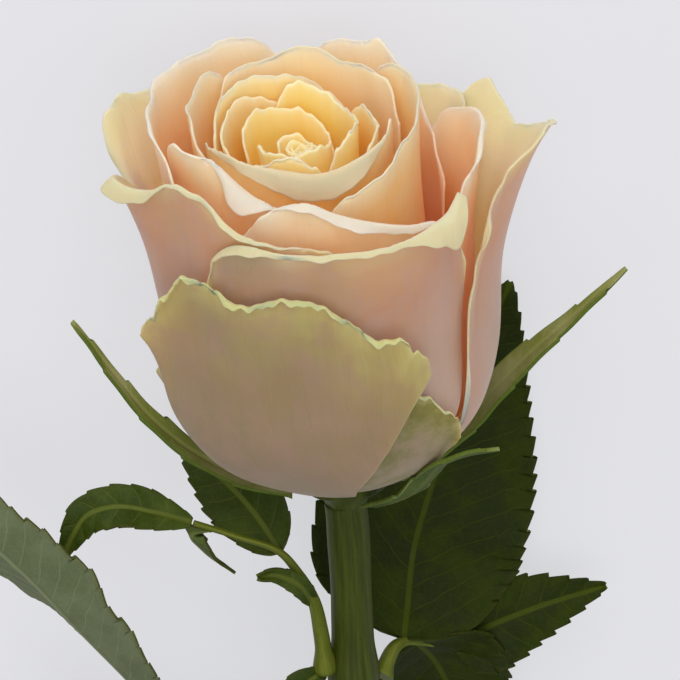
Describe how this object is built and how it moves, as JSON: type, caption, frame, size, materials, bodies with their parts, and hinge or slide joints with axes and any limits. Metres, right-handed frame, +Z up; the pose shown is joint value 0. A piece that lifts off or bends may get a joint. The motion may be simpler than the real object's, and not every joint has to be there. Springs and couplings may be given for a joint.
{
  "type": "cut rose",
  "caption": "Cut garden-type rose lying on its side, an open cream, pink and peach bloom on a thorny stem with serrated leaves.",
  "frame": {"origin": "centre of the box round the whole rose, at the height of the surface it lies on", "axes": "+Y along the stem towards the bloom, +Z up from the surface the rose lies on, +X to the right of the bloom seen from above the cut end"},
  "size_m": [0.1128, 0.4006, 0.0536],
  "materials": {
    "stem_green": "satin",
    "hip_green": "satin",
    "sepal_green": "satin",
    "leaf_stalk_green": "satin",
    "leaf_dark_green": "satin",
    "petal_cream_green": "matte",
    "petal_pale_pink": "matte",
    "petal_peach": "matte",
    "petal_warm_cream": "matte",
    "petal_golden": "matte"
  },
  "bodies": {
    "root": {"cup_petal_back": "petal_warm_cream", "cup_petal_front": "petal_warm_cream", "cup_petal_left": "petal_warm_cream", "cup_petal_right": "petal_warm_cream", "curl_petal_back": "petal_golden", "curl_petal_left": "petal_golden", "curl_petal_right": "petal_golden", "guard_petal_front": "petal_cream_green", "guard_petal_side": "petal_cream_green", "heart_bud": "petal_golden", "heart_petal_back": "petal_golden", "heart_petal_front": "petal_golden", "heart_petal_left": "petal_golden", "inner_petal_back_left": "petal_golden", "inner_petal_left": "petal_golden", "inner_petal_right": "petal_golden", "left_leaf_bract": "leaf_dark_green", "left_leaf_leaflet_arching": "leaf_dark_green", "left_leaf_leaflet_hanging": "leaf_dark_green", "left_leaf_leaflet_low": "leaf_dark_green", "left_leaf_leaflet_upright": "leaf_dark_green", "left_leaf_stalk": "leaf_stalk_green", "lower_left_leaf_leaflet_2": "leaf_dark_green", "lower_left_leaf_leaflet_3": "leaf_dark_green", "lower_left_leaf_leaflet_4": "leaf_dark_green", "lower_left_leaf_leaflet_5": "leaf_dark_green", "lower_left_leaf_leaflet_end": "leaf_dark_green", "lower_left_leaf_stalk": "leaf_stalk_green", "lower_right_leaf_leaflet_2": "leaf_dark_green", "lower_right_leaf_leaflet_3": "leaf_dark_green", "lower_right_leaf_leaflet_4": "leaf_dark_green", "lower_right_leaf_leaflet_5": "leaf_dark_green", "lower_right_leaf_leaflet_end": "leaf_dark_green", "lower_right_leaf_stalk": "leaf_stalk_green", "middle_petal_back": "petal_peach", "middle_petal_front": "petal_peach", "middle_petal_front_left": "petal_peach", "middle_petal_left": "petal_peach", "middle_petal_right": "petal_peach", "outer_petal_back": "petal_pale_pink", "outer_petal_back_left": "petal_pale_pink", "outer_petal_back_right": "petal_pale_pink", "outer_petal_front": "petal_pale_pink", "outer_petal_left": "petal_pale_pink", "outer_petal_right": "petal_pale_pink", "receptacle": "hip_green", "right_leaf_leaflet_low": "leaf_dark_green", "right_leaf_leaflet_right": "leaf_dark_green", "right_leaf_leaflet_top": "leaf_dark_green", "right_leaf_stalk": "leaf_stalk_green", "sepal_back_left": "sepal_green", "sepal_back_right": "sepal_green", "sepal_front": "sepal_green", "sepal_left": "sepal_green", "sepal_right": "sepal_green", "stem": "stem_green"}
  },
  "joints": []
}
